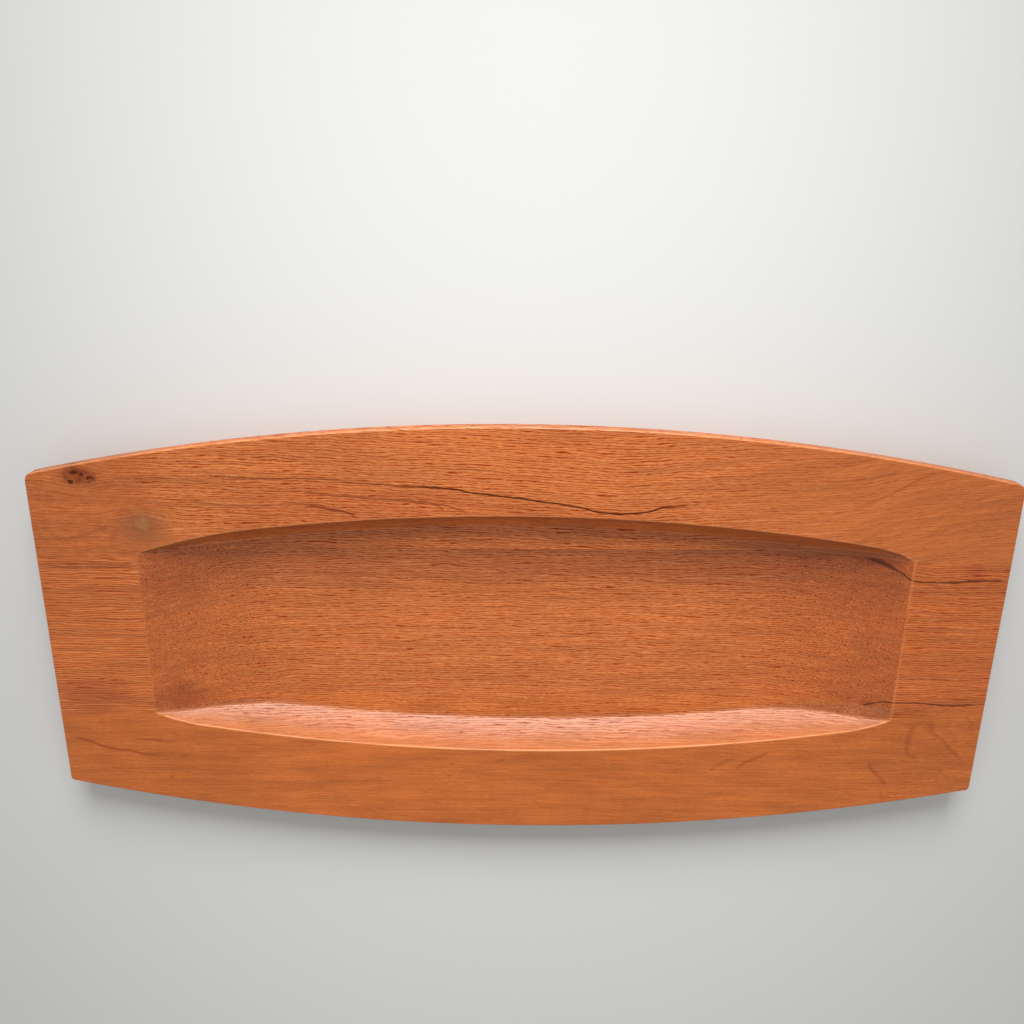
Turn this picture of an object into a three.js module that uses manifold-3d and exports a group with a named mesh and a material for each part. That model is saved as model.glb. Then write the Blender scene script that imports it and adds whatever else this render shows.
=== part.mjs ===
// A long serving tray, carved out of a slab of three boards that are glued edge to edge.
// Millimetres, +Z up. It lies as in use: the underside rests on z = 0, the length runs along X,
// and the back edge is at +Y. The origin is under the middle of the outline.
import * as THREE from "three";
import { mergeVertices } from "three/addons/utils/BufferGeometryUtils.js";
import Module from "manifold-3d";

// The slab's outline has straight ends, and long sides that bow outwards
const trayLength = 610;
const trayWidth = 282;
const sideBow = 33;
const backCornerRadius = 6;
const frontCornerRadius = 3;

// The slab's edge, from the rim down, is a rounded arris, an upright band and a bevel for the fingers
const arrisRadius = 1.2;
const edgeBandHeight = 9;
const bevelWidth = 24;

// The rim is the flat left round the hollow. Its long sides keep their width from end to end,
// until the hollow draws in a little at its corners, and further at the back left one.
const leftRimWidth = 63;
const rightRimWidth = 60.5;
const backRimWidth = 56.5;
const frontRimWidth = 60;
const cornerDraw = 4;
const cornerDrawLength = 30;
const backLeftDraw = 6;
const backLeftDrawLength = 75;

// The hollow's long walls lean, and its floor is level and then rises in a curve to both ends
const hollowDepth = 21;
const floorThickness = 7;
const wallLean = 12.9;
const rampLength = 97;
const coveRadius = 3;

// The joints between the boards drift slightly towards the back from the left end to the right
const middleBoardWidth = 106.5;
const middleBoardShift = 2.25;
const backJointDrift = 3.6;
const frontJointDrift = 9.5;
const glueGap = 0.3;

// How finely the curves are stepped
const sideSteps = 16;
const cornerSteps = 5;
const arrisSteps = 3;
const floorSteps = 12;
const rampSteps = 12;
const coveSteps = 4;

// How far a cutting solid reaches past what it cuts
const cutMargin = 5;

const thickness = hollowDepth + floorThickness;
const hollowHalfLength = (trayLength - leftRimWidth - rightRimWidth) / 2;
const hollowMiddleX = (leftRimWidth - rightRimWidth) / 2;
const levelHalfLength = hollowHalfLength - rampLength;

const wasm = await Module();
wasm.setup();

// The radius of an arc that stands bow high over the middle of its chord
function arcRadius(halfChord, bow) {
  return (halfChord ** 2 + bow ** 2) / (2 * bow);
}

// How far an arc has dropped from its crown at a distance along its chord
function arcDrop(radius, distance) {
  return radius - Math.sqrt(radius ** 2 - distance ** 2);
}

// Points along an arc, from its start angle to its end angle
function arcPoints(centreX, centreY, radius, startAngle, endAngle, steps) {
  return new THREE.EllipseCurve(centreX, centreY, radius, radius, startAngle, endAngle).getPoints(steps);
}

const sideRadius = arcRadius(trayLength / 2, sideBow);

// A quarter of the outline, drawn inset from the slab's edge: up the +X end, round the corner
// and along the +Y side to its middle
function outlineQuarter(inset, cornerRadius) {
  const sideCentreY = trayWidth / 2 - sideRadius;
  const radius = sideRadius - inset;
  const cornerX = trayLength / 2 - inset - cornerRadius;
  const rise = Math.sqrt((radius - cornerRadius) ** 2 - cornerX ** 2);
  const cornerEnd = Math.atan2(rise, cornerX);
  const corner = arcPoints(cornerX, sideCentreY + rise, cornerRadius, 0, cornerEnd, cornerSteps);
  const side = arcPoints(0, sideCentreY, radius, cornerEnd, Math.PI / 2, sideSteps);
  return [...corner, ...side.slice(1)];
}

// The slab's whole outline at a height, anticlockwise seen from above
function outlineRing(inset, height) {
  const back = outlineQuarter(inset, backCornerRadius);
  const front = outlineQuarter(inset, frontCornerRadius);
  const placed = (quarter, signX, signY) =>
    quarter.map((point) => new THREE.Vector3(signX * point.x, signY * point.y, height));
  return [
    ...placed(back, 1, 1),
    ...placed(back, -1, 1).reverse().slice(1),
    ...placed(front, -1, -1),
    ...placed(front, 1, -1).reverse().slice(1),
  ];
}

// A closed solid through rings that all have the same number of points, with a cap on both ends.
// across gives a point's place in the plane of the rings.
function loft(rings, across) {
  const count = rings[0].length;
  const index = [];
  for (let low = 0; low < (rings.length - 1) * count; low += count) {
    for (let i = 0; i < count; i++) {
      const next = (i + 1) % count;
      index.push(low + i, low + next, low + count + next);
      index.push(low + i, low + count + next, low + count + i);
    }
  }
  const last = (rings.length - 1) * count;
  for (const [a, b, c] of THREE.ShapeUtils.triangulateShape(rings[0].map(across), [])) {
    index.push(a, c, b);
  }
  for (const [a, b, c] of THREE.ShapeUtils.triangulateShape(rings.at(-1).map(across), [])) {
    index.push(last + a, last + b, last + c);
  }
  const positions = rings.flat().flatMap((point) => point.toArray());
  const geometry = new THREE.BufferGeometry();
  geometry.setAttribute("position", new THREE.Float32BufferAttribute(positions, 3));
  geometry.setIndex(index);
  return geometry;
}

function solidOf(geometry) {
  const bare = geometry.clone();
  bare.deleteAttribute("normal");
  bare.deleteAttribute("uv");
  const merged = mergeVertices(bare);
  return new wasm.Manifold(
    new wasm.Mesh({
      numProp: 3,
      vertProperties: merged.attributes.position.array,
      triVerts: new Uint32Array(merged.index.array),
    }),
  );
}

function geometryOf(solid) {
  const { vertProperties, triVerts } = solid.getMesh();
  const geometry = new THREE.BufferGeometry();
  geometry.setAttribute("position", new THREE.BufferAttribute(vertProperties, 3));
  geometry.setIndex(new THREE.BufferAttribute(triVerts, 1));
  const faceted = geometry.toNonIndexed();
  faceted.computeVertexNormals();
  return faceted;
}

// The slab before it is hollowed: underside, bevel, upright band and arris
function slabSolid() {
  const rings = [outlineRing(bevelWidth, 0), outlineRing(0, thickness - edgeBandHeight)];
  for (let step = 0; step <= arrisSteps; step++) {
    const turn = (step / arrisSteps) * (Math.PI / 2);
    const inset = arrisRadius * (1 - Math.cos(turn));
    rings.push(outlineRing(inset, thickness - arrisRadius + arrisRadius * Math.sin(turn)));
  }
  return solidOf(loft(rings, (point) => new THREE.Vector2(point.x, point.y)));
}

// The hollow's floor is level in the middle, and rises along an arc that meets the rim at both ends
function floorHeight(x) {
  const pastLevel = Math.max(0, Math.abs(x - hollowMiddleX) - levelHalfLength);
  return floorThickness + arcDrop(arcRadius(rampLength, hollowDepth), pastLevel);
}

// How far from the middle line a long edge of the hollow lies: a rim's width inside the slab's side,
// and less where it draws in towards a corner
function hollowEdge(x, rimWidth, draw, drawLength) {
  const intoDraw = Math.abs(x - hollowMiddleX) - (hollowHalfLength - drawLength);
  const drawnIn = draw * (Math.max(0, intoDraw) / drawLength) ** 2;
  return trayWidth / 2 - rimWidth - arcDrop(sideRadius - rimWidth, x) - drawnIn;
}

function backHollowEdge(x) {
  return x < hollowMiddleX
    ? hollowEdge(x, backRimWidth, backLeftDraw, backLeftDrawLength)
    : hollowEdge(x, backRimWidth, cornerDraw, cornerDrawLength);
}

// A cross-section of the space to cut away, anticlockwise seen from the +X end: front cove, back
// cove, then up both walls to above the rim
function hollowRing(x) {
  const floor = floorHeight(x);
  const top = thickness + coveRadius + cutMargin;
  const backEdge = backHollowEdge(x);
  const frontEdge = -hollowEdge(x, frontRimWidth, cornerDraw, cornerDrawLength);
  const lean = (height) => (wallLean * (thickness - height)) / hollowDepth;
  const wallSlope = Math.atan2(hollowDepth, wallLean);
  const coveReach = coveRadius * Math.tan(wallSlope / 2);
  const frontCoveY = frontEdge + lean(floor) + coveReach;
  const backCoveY = backEdge - lean(floor) - coveReach;
  const down = -Math.PI / 2;
  const section = [
    ...arcPoints(frontCoveY, floor + coveRadius, coveRadius, down - wallSlope, down, coveSteps),
    ...arcPoints(backCoveY, floor + coveRadius, coveRadius, down, down + wallSlope, coveSteps),
    new THREE.Vector2(backEdge - lean(top), top),
    new THREE.Vector2(frontEdge + lean(top), top),
  ];
  return section.map((point) => new THREE.Vector3(x, point.x, point.y));
}

// Cross-sections are taken along the level floor and both ramps, and once past each end
function hollowSolid() {
  const stations = [];
  for (let step = 0; step <= floorSteps; step++) {
    stations.push(levelHalfLength * ((2 * step) / floorSteps - 1));
  }
  for (let step = 1; step <= rampSteps; step++) {
    const along = levelHalfLength + (rampLength * step) / rampSteps;
    stations.push(along);
    stations.unshift(-along);
  }
  stations.push(hollowHalfLength + cutMargin);
  stations.unshift(-hollowHalfLength - cutMargin);
  const rings = stations.map((station) => hollowRing(hollowMiddleX + station));
  return solidOf(loft(rings, (point) => new THREE.Vector2(point.y, point.z)));
}

// The upright face of a joint, seen from above: where it crosses x
function jointLine(middleY, drift) {
  return (x) => middleY + (drift * x) / trayLength;
}

// The space that one board fills, between two lines that run the length of the slab
function boardSpace(frontLine, backLine) {
  const end = trayLength / 2 + cutMargin;
  const corners = [
    new THREE.Vector2(-end, frontLine(-end)),
    new THREE.Vector2(end, frontLine(end)),
    new THREE.Vector2(end, backLine(end)),
    new THREE.Vector2(-end, backLine(-end)),
  ];
  const depth = thickness + 2 * cutMargin;
  const space = new THREE.ExtrudeGeometry(new THREE.Shape(corners), { depth, bevelEnabled: false });
  return solidOf(space.translate(0, 0, -cutMargin));
}

function woodMaterial(colour) {
  return new THREE.MeshStandardMaterial({ color: colour, roughness: 0.45, metalness: 0 });
}

const carved = slabSolid().subtract(hollowSolid());

// One board of the carved slab, between its two joint lines
function board(name, frontLine, backLine, colour) {
  const mesh = new THREE.Mesh(
    geometryOf(carved.intersect(boardSpace(frontLine, backLine))),
    woodMaterial(colour),
  );
  mesh.name = name;
  return mesh;
}

const backJointY = middleBoardShift + middleBoardWidth / 2;
const frontJointY = middleBoardShift - middleBoardWidth / 2;
const pastSide = trayWidth / 2 + cutMargin;

const tray = new THREE.Group();
tray.add(
  board("back_board", jointLine(backJointY + glueGap / 2, backJointDrift), () => pastSide, 0xb5642c),
  board(
    "middle_board",
    jointLine(frontJointY + glueGap / 2, frontJointDrift),
    jointLine(backJointY - glueGap / 2, backJointDrift),
    0xaf5f2b,
  ),
  board("front_board", () => -pastSide, jointLine(frontJointY - glueGap / 2, frontJointDrift), 0xbb6a30),
);

export default tray;
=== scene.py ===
"""A long serving tray, carved out of a slab of three boards that are glued edge to edge.

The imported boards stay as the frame. Each is replaced by the same board, modelled finely and finished as
oiled wood. Metres, +Z up, the underside on z = 0, the length along X and the back edge at +Y.
"""

import math

import bmesh
import bpy
from mathutils import Matrix, Vector


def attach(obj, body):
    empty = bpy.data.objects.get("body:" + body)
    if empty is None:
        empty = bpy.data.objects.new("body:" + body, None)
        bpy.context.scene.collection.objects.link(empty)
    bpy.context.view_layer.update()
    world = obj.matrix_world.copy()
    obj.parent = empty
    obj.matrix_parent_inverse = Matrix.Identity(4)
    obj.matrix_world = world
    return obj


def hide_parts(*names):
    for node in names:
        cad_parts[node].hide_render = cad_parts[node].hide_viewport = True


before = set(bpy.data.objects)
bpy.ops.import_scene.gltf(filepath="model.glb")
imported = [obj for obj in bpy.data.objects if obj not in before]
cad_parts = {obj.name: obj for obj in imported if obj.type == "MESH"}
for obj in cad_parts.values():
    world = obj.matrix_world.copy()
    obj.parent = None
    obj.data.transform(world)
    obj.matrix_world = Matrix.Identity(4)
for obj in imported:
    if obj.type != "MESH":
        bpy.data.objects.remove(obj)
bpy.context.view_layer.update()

# The slab, with the same values as the part's source
TRAY_LENGTH = 0.610
TRAY_WIDTH = 0.282
THICKNESS = 0.028
SIDE_BOW = 0.033
BACK_CORNER_RADIUS = 0.006
FRONT_CORNER_RADIUS = 0.003
EDGE_BAND_HEIGHT = 0.009
BEVEL_WIDTH = 0.024

# The rim round the hollow
BACK_RIM_WIDTH = 0.0565
FRONT_RIM_WIDTH = 0.060
HOLLOW_HALF_LENGTH = 0.24325
HOLLOW_MIDDLE_X = 0.00125
CORNER_DRAW = 0.004
CORNER_DRAW_LENGTH = 0.030
BACK_LEFT_DRAW = 0.006
BACK_LEFT_DRAW_LENGTH = 0.075

# The hollow itself
HOLLOW_DEPTH = 0.021
WALL_LEAN = 0.0129
RAMP_LENGTH = 0.097
COVE_RADIUS = 0.003

# How far a wall runs out for each step that it rises: most at its foot, least at the rim, so that it is
# very slightly hollow
FOOT_RUN = 0.88
RIM_RUN = 2 * WALL_LEAN / HOLLOW_DEPTH - FOOT_RUN

# The joints between the boards, at the middle of the length and per metre of it
BACK_JOINT_Y = 0.0555
BACK_JOINT_SLOPE = 0.0036 / TRAY_LENGTH
FRONT_JOINT_Y = -0.0510
FRONT_JOINT_SLOPE = 0.0095 / TRAY_LENGTH

# How far each edge is eased by sandpaper
ARRIS_RADIUS = 0.0012
BAND_FOOT_EASE = 0.0010
UNDERSIDE_EASE = 0.0015
HOLLOW_EDGE_EASE = 0.0007
LEFT_END_EASE = 0.003

# How far the carving reaches above the rim
CUT_MARGIN = 0.008

FLOOR_Z = THICKNESS - HOLLOW_DEPTH
CUT_TOP = THICKNESS + CUT_MARGIN
LEVEL_HALF_LENGTH = HOLLOW_HALF_LENGTH - RAMP_LENGTH

# The cove turns from the floor into the foot of the wall
COVE_TURN = math.atan2(1, FOOT_RUN)
COVE_REACH = COVE_RADIUS * math.tan(COVE_TURN / 2)
COVE_OUT = COVE_RADIUS * math.sin(COVE_TURN)
COVE_RISE = COVE_RADIUS * (1 - math.cos(COVE_TURN))

# How finely the outline's curves and the eased edges are stepped
CORNER_STEPS = 8
SIDE_STEPS = 160
ROUND_STEPS = 5
EASE_STEPS = 3

# How finely the hollow's curves are stepped, and how many steps it is carved on past both its ends
LEVEL_STEPS = 24
RAMP_STEPS = 28
STEPS_PAST_END = 2
WALL_STEPS = 8
COVE_STEPS = 6

# Points nearer than this are one point
WELD = 0.00002

# A point this near to a plane counts as on it: first the close measure, then the loose one
ON_PLANE = 0.00001
NEAR_PLANE = 0.0001

# How upright a face's normal is: on the flat rim at least, and on the hollow's walls and ramp ends at most
RIM_NORMAL = 0.99999
WALL_NORMAL = 0.95

# Edges flatter than this angle, in degrees, are shaded smooth, and then the largest faces count most
SMOOTH_ANGLE = 35
LARGE_FACE_WEIGHT = 100

# Millimetres in a metre
MM = 1000


def arc_radius(half_chord, bow):
    """The radius of an arc that stands bow high over the middle of its chord."""
    return (half_chord ** 2 + bow ** 2) / (2 * bow)


SIDE_RADIUS = arc_radius(TRAY_LENGTH / 2, SIDE_BOW)
SIDE_CENTRE = TRAY_WIDTH / 2 - SIDE_RADIUS
RAMP_RADIUS = arc_radius(RAMP_LENGTH, HOLLOW_DEPTH)


# Modelling by hand: small steps in edit mode

def deselect_all():
    bpy.ops.object.select_all(action="DESELECT")


def edit(piece):
    """Opens one piece for editing, with nothing else selected."""
    deselect_all()
    piece.select_set(True)
    bpy.context.view_layer.objects.active = piece
    bpy.ops.object.mode_set(mode="EDIT")


def done():
    bpy.ops.object.mode_set(mode="OBJECT")


def pick(kind, test):
    """Selects the points or edges that pass a test, and only those, in the piece being edited."""
    bpy.ops.mesh.select_mode(type=kind)
    bpy.ops.mesh.select_all(action="DESELECT")
    shape = bmesh.from_edit_mesh(bpy.context.edit_object.data)
    for element in {"VERT": shape.verts, "EDGE": shape.edges}[kind]:
        if test(element):
            element.select_set(True)


def pick_points(test):
    pick("VERT", lambda point: test(point.co))


def pick_edges(test):
    """Selects the edges whose two ends both pass a test."""
    pick("EDGE", lambda edge: all(test(point.co) for point in edge.verts))


def pick_folds(one_side, other_side):
    """Selects the edges along which two kinds of face meet, each kind told by a test on its normal."""
    def is_fold(edge):
        kinds = [(one_side(face.normal), other_side(face.normal)) for face in edge.link_faces]
        return any(kind[0] for kind in kinds) and any(kind[1] for kind in kinds)
    pick("EDGE", is_fold)


def slide(step):
    bpy.ops.transform.translate(value=step)


def turn(centre, angle, steps, axis=(0, 0, 1)):
    """Draws on from what is selected, along an arc about a centre, anticlockwise about the axis."""
    bpy.ops.mesh.spin(steps=steps, angle=-angle, center=centre, axis=axis)


def run(step):
    """Draws on from the selected point along a straight line."""
    bpy.ops.mesh.extrude_vertices_move(TRANSFORM_OT_translate={"value": step})


def ease_picked(width, steps):
    """Rounds the selected edges off."""
    bpy.ops.mesh.bevel(offset_type="OFFSET", offset=width, segments=steps, clamp_overlap=False)


def weld():
    bpy.ops.mesh.select_all(action="SELECT")
    bpy.ops.mesh.remove_doubles(threshold=WELD)


def face_outwards():
    bpy.ops.mesh.select_all(action="SELECT")
    bpy.ops.mesh.normals_make_consistent(inside=False)


def line(name, start, end):
    """A single straight line along Y, open for editing, from a plane that loses its far side."""
    length = end[1] - start[1]
    deselect_all()
    middle = (start[0] - length / 2, start[1] + length / 2, start[2])
    bpy.ops.mesh.primitive_plane_add(size=length, location=middle)
    piece = bpy.context.object
    piece.name = name
    piece.data.name = name
    bpy.ops.object.transform_apply(location=True, rotation=True, scale=True)
    edit(piece)
    pick_points(lambda point: point.x < start[0] - length / 2)
    bpy.ops.mesh.delete(type="VERT")
    pick_points(lambda point: point.y > start[1] + length / 2)
    return piece


def join(first, *others):
    deselect_all()
    for piece in (first, *others):
        piece.select_set(True)
    bpy.context.view_layer.objects.active = first
    bpy.ops.object.join()
    return first


def cut_away(piece, tool):
    """Carves the shape of one closed piece out of another, and takes the tool away."""
    deselect_all()
    bpy.context.view_layer.objects.active = piece
    cut = piece.modifiers.new("cut", "BOOLEAN")
    cut.operation = "DIFFERENCE"
    cut.solver = "EXACT"
    cut.object = tool
    bpy.ops.object.modifier_apply(modifier=cut.name)
    bpy.data.objects.remove(tool)


# The slab

def draw_outline(name, inset, height):
    """The slab's outline as a closed line at a height: straight ends, rounded corners and bowed sides."""
    end_x = TRAY_LENGTH / 2 - inset
    corners = {}
    for side, radius in ((1, BACK_CORNER_RADIUS), (-1, FRONT_CORNER_RADIUS)):
        corner_x = end_x - radius
        rise = math.sqrt((SIDE_RADIUS - inset - radius) ** 2 - corner_x ** 2)
        corners[side] = (corner_x, side * (SIDE_CENTRE + rise), math.atan2(rise, corner_x))
    back_x, back_y, back_turn = corners[1]
    front_x, front_y, front_turn = corners[-1]

    outline = line(name, (end_x, front_y, height), (end_x, back_y, height))
    turn((back_x, back_y, height), back_turn, CORNER_STEPS)
    turn((0, SIDE_CENTRE, height), math.pi - 2 * back_turn, SIDE_STEPS)
    turn((-back_x, back_y, height), back_turn, CORNER_STEPS)
    run((0, front_y - back_y, 0))
    turn((-front_x, front_y, height), front_turn, CORNER_STEPS)
    turn((0, -SIDE_CENTRE, height), math.pi - 2 * front_turn, SIDE_STEPS)
    turn((front_x, front_y, height), front_turn, CORNER_STEPS)
    weld()
    done()
    return outline


def slab_blank():
    """The slab before it is hollowed: underside, finger bevel, upright band and rim, with eased edges."""
    band_foot = THICKNESS - EDGE_BAND_HEIGHT
    slab = join(draw_outline("slab", BEVEL_WIDTH, 0), draw_outline("band", 0, band_foot))
    edit(slab)
    bpy.ops.mesh.select_mode(type="EDGE")
    bpy.ops.mesh.select_all(action="SELECT")
    bpy.ops.mesh.bridge_edge_loops()
    pick_edges(lambda point: point.z < NEAR_PLANE)
    bpy.ops.mesh.edge_face_add()
    pick_edges(lambda point: point.z > band_foot - NEAR_PLANE)
    bpy.ops.mesh.extrude_edges_move(TRANSFORM_OT_translate={"value": (0, 0, EDGE_BAND_HEIGHT)})
    bpy.ops.mesh.edge_face_add()
    face_outwards()
    for height, ease, steps in (
        (THICKNESS, ARRIS_RADIUS, ROUND_STEPS),
        (band_foot, BAND_FOOT_EASE, EASE_STEPS),
        (0, UNDERSIDE_EASE, EASE_STEPS),
    ):
        pick_edges(lambda point: abs(point.z - height) < ON_PLANE)
        ease_picked(ease, steps)
    done()
    return slab


# The hollow

def arc_drop(radius, distance):
    """How far an arc has dropped from its crown at a distance along its chord."""
    return radius - math.sqrt(radius ** 2 - distance ** 2)


def floor_height(x):
    """The floor is level in the middle, and rises along an arc that meets the rim at both ends."""
    past_level = max(0, abs(x - HOLLOW_MIDDLE_X) - LEVEL_HALF_LENGTH)
    return FLOOR_Z + arc_drop(RAMP_RADIUS, past_level)


def rim_edge(x, rim_width, draw, draw_length):
    """How far from the middle line a long edge of the hollow lies: a rim's width inside the slab's side,
    and less where it draws in towards a corner."""
    into_draw = abs(x - HOLLOW_MIDDLE_X) - (HOLLOW_HALF_LENGTH - draw_length)
    drawn_in = draw * (max(0, into_draw) / draw_length) ** 2
    return TRAY_WIDTH / 2 - rim_width - arc_drop(SIDE_RADIUS - rim_width, x) - drawn_in


def rim_edges(x):
    """Where the hollow's back (1) and front (-1) edges lie at x. The back left corner draws in further."""
    draw = (CORNER_DRAW, CORNER_DRAW_LENGTH)
    back_left_draw = (BACK_LEFT_DRAW, BACK_LEFT_DRAW_LENGTH)
    return {
        1: rim_edge(x, BACK_RIM_WIDTH, *(back_left_draw if x < HOLLOW_MIDDLE_X else draw)),
        -1: rim_edge(x, FRONT_RIM_WIDTH, *draw),
    }


def wall_out(height, floor, edge):
    """How far from the middle line a wall is at a height, when it rises from a floor to a rim's edge."""
    below = THICKNESS - height
    if below < 0 or floor >= THICKNESS:
        return edge - RIM_RUN * below
    steepening = (FOOT_RUN - RIM_RUN) / (THICKNESS - floor)
    return edge - RIM_RUN * below - steepening * below ** 2 / 2


def section(x):
    """The cross-section of the hollow at x, as places on its back (1) and front (-1) side: the end of the
    level floor first, then up the wall from above its cove."""
    floor = floor_height(x)
    cove_top = floor + COVE_RISE
    sides = {}
    for side, edge in rim_edges(x).items():
        floor_end = wall_out(floor, floor, edge) - COVE_REACH
        sides[side] = [Vector((x, side * floor_end, floor))]
        for step in range(1, WALL_STEPS + 1):
            height = cove_top + (CUT_TOP - cove_top) * step / WALL_STEPS
            sides[side].append(Vector((x, side * wall_out(height, floor, edge), height)))
    return sides


def draw_section(name, places):
    """A closed face across the hollow, drawn in turn: floor, back cove, back wall, front wall and front
    cove."""
    back, front = places[1], places[-1]
    to_cove_centre = Vector((0, 0, COVE_RADIUS))
    back_cove_end = back[0] + Vector((0, COVE_OUT, COVE_RISE))
    front_cove_end = front[0] + Vector((0, -COVE_OUT, COVE_RISE))
    up = [back_cove_end, *back[1:]]
    down = [*reversed(front[1:]), front_cove_end]

    face = line(name, front[0], back[0])
    turn(back[0] + to_cove_centre, COVE_TURN, COVE_STEPS, axis=(1, 0, 0))
    for start, end in zip(up + down, up[1:] + down):
        run(end - start)
    turn(front[0] + to_cove_centre, COVE_TURN, COVE_STEPS, axis=(1, 0, 0))
    weld()
    bpy.ops.mesh.edge_face_add()
    return face


def hollow_space():
    """All that is carved out. A cross-section is drawn past the left end and extruded from station to
    station, and its floor and the steps of its walls slide to their place at each."""
    stations = [LEVEL_HALF_LENGTH * (2 * step / LEVEL_STEPS - 1) for step in range(LEVEL_STEPS + 1)]
    for step in range(1, RAMP_STEPS + STEPS_PAST_END + 1):
        along = LEVEL_HALF_LENGTH + RAMP_LENGTH * step / RAMP_STEPS
        stations = [-along, *stations, along]
    stations = [HOLLOW_MIDDLE_X + along for along in stations]

    places = section(stations[0])
    space = draw_section("hollow", places)
    for before, x in zip(stations, stations[1:]):
        pick_edges(lambda point: abs(point.x - before) < ON_PLANE)
        bpy.ops.mesh.extrude_edges_move(TRANSFORM_OT_translate={"value": (x - before, 0, 0)})
        last_places = places
        places = section(x)
        for side in (1, -1):
            heights = [place.z for place in last_places[side]]
            heights[0] += COVE_RISE
            limits = [0, *((low + high) / 2 for low, high in zip(heights, heights[1:])), 1]
            parts = list(zip(last_places[side], places[side], limits, limits[1:]))
            if x > HOLLOW_MIDDLE_X:
                parts.reverse()
            for old, new, low, high in parts:
                pick_points(
                    lambda point: abs(point.x - x) < ON_PLANE
                    and side * point.y > 0
                    and low < point.z < high
                )
                slide((0, new.y - old.y, new.z - old.z))
    pick_edges(lambda point: abs(point.x - stations[-1]) < ON_PLANE)
    bpy.ops.mesh.edge_face_add()
    weld()
    face_outwards()
    done()
    return space


def carved_slab():
    """The slab with the hollow carved out, its edge eased and its left end rubbed round."""
    slab = slab_blank()
    cut_away(slab, hollow_space())
    edit(slab)
    weld()
    face_outwards()
    left_end = HOLLOW_MIDDLE_X - HOLLOW_HALF_LENGTH
    pick_edges(
        lambda point: abs(point.x - left_end) < 2 * NEAR_PLANE and abs(point.z - THICKNESS) < NEAR_PLANE
    )
    ease_picked(LEFT_END_EASE, ROUND_STEPS)
    pick_folds(lambda normal: normal.z > RIM_NORMAL, lambda normal: 0 < normal.z < WALL_NORMAL)
    ease_picked(HOLLOW_EDGE_EASE, EASE_STEPS)
    done()
    return slab


# The boards

def sawn_board(slab, name, cuts):
    """A board as a piece of the slab. Each cut is a joint's place and slope, and the side that goes."""
    deselect_all()
    slab.select_set(True)
    bpy.context.view_layer.objects.active = slab
    bpy.ops.object.duplicate()
    board = bpy.context.object
    board.name = name
    board.data.name = name
    edit(board)
    for joint_y, joint_slope, side in cuts:
        bpy.ops.mesh.select_mode(type="VERT")
        bpy.ops.mesh.select_all(action="SELECT")
        bpy.ops.mesh.bisect(
            plane_co=(0, joint_y, 0),
            plane_no=(-side * joint_slope, side, 0),
            use_fill=True,
            clear_outer=True,
        )
    weld()
    bpy.ops.mesh.delete_loose()
    face_outwards()
    done()
    bpy.ops.object.shade_smooth_by_angle(angle=math.radians(SMOOTH_ANGLE))
    flats = board.modifiers.new("flats", "WEIGHTED_NORMAL")
    flats.keep_sharp = True
    flats.weight = LARGE_FACE_WEIGHT
    bpy.ops.object.modifier_apply(modifier=flats.name)
    return board


# Materials

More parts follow.
